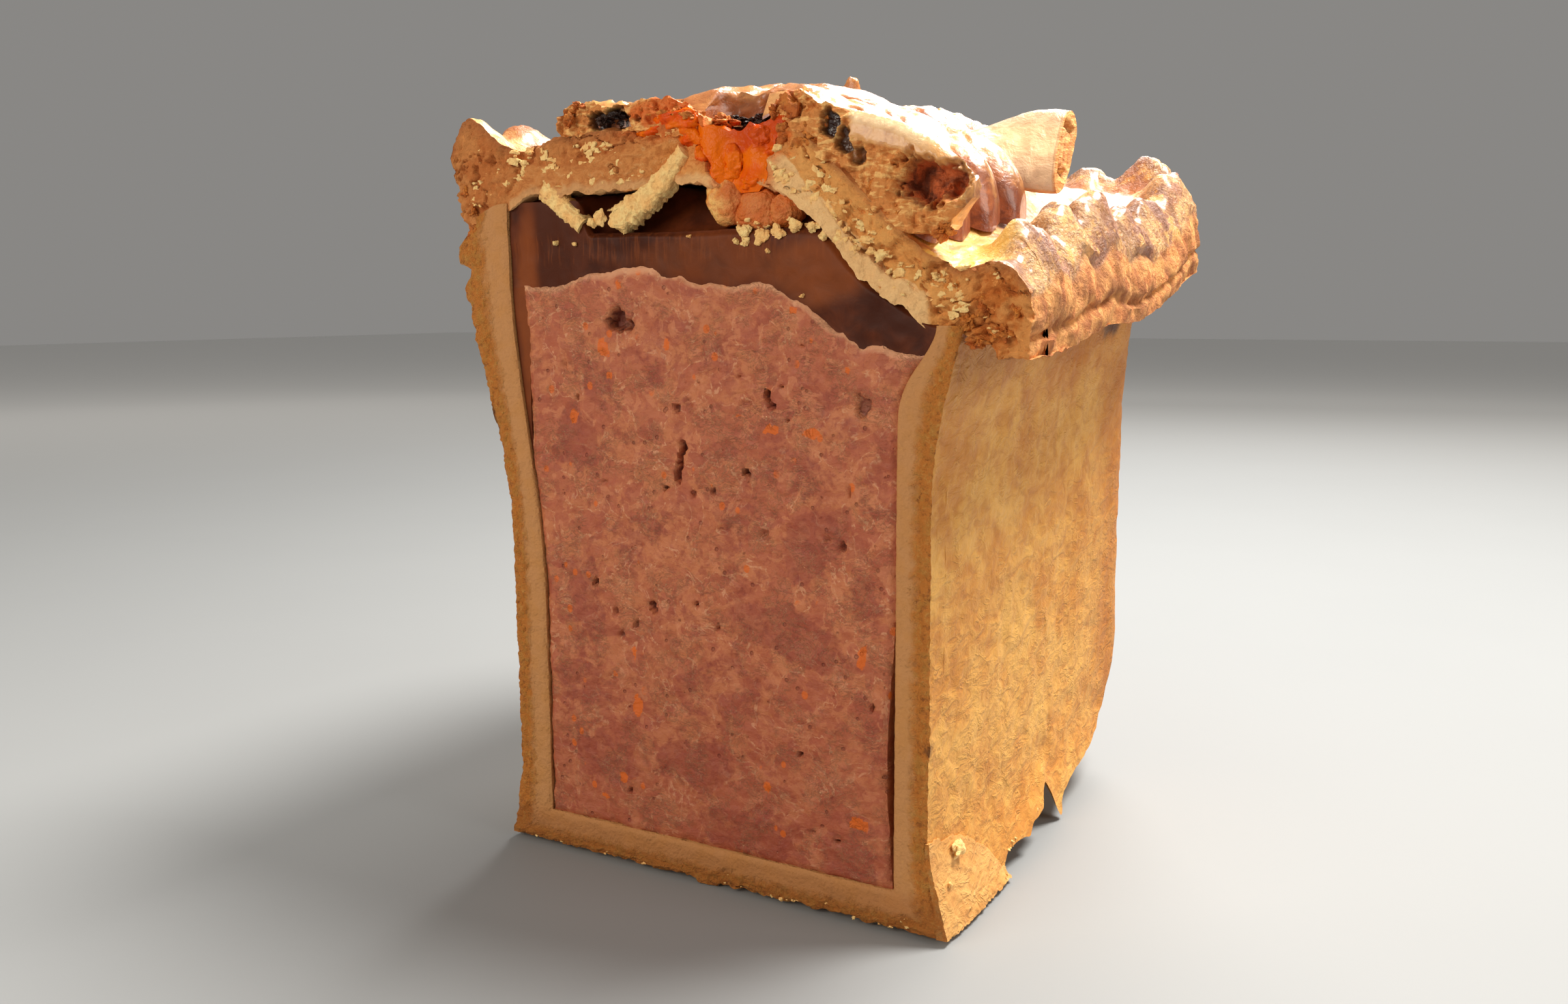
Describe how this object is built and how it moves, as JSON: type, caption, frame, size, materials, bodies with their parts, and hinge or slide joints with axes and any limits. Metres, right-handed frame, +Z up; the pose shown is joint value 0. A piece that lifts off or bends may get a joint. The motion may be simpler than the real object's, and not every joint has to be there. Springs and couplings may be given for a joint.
{
  "type": "pate en croute",
  "caption": "End piece of a block-shaped pork pate baked in pastry: coarse pink filling and brown jelly in a crust case, with a crimped lid, a leaf of dough and a jelly-filled steam hole.",
  "frame": {"origin": "on the flat underside of the crust, midway between the side walls and 48 mm behind the cut face", "axes": "+Z up, -Y out of the cut face, +Y towards the baked end, +X towards the wall whose top is lower"},
  "size_m": [0.098, 0.1095, 0.1224],
  "materials": {
    "crust": "matt, finely wrinkled baked pastry, cream where cut",
    "lid_crust": "egg-washed and browned on top, crumbly and cream where cut",
    "leaf_crust": "glossy egg wash, dark in the hollows",
    "meat": "moist cut face with darker ham pieces and small holes",
    "aspic": "clear brown jelly, cut smooth",
    "steam_hole_jelly": "clear orange jelly mixed with crumb"
  },
  "bodies": {
    "root": {"pastry_case": "crust", "pastry_lid": "lid_crust", "pastry_leaf": "leaf_crust", "meat_filling": "meat", "aspic": "aspic", "chimney_jelly": "steam_hole_jelly"}
  },
  "joints": []
}
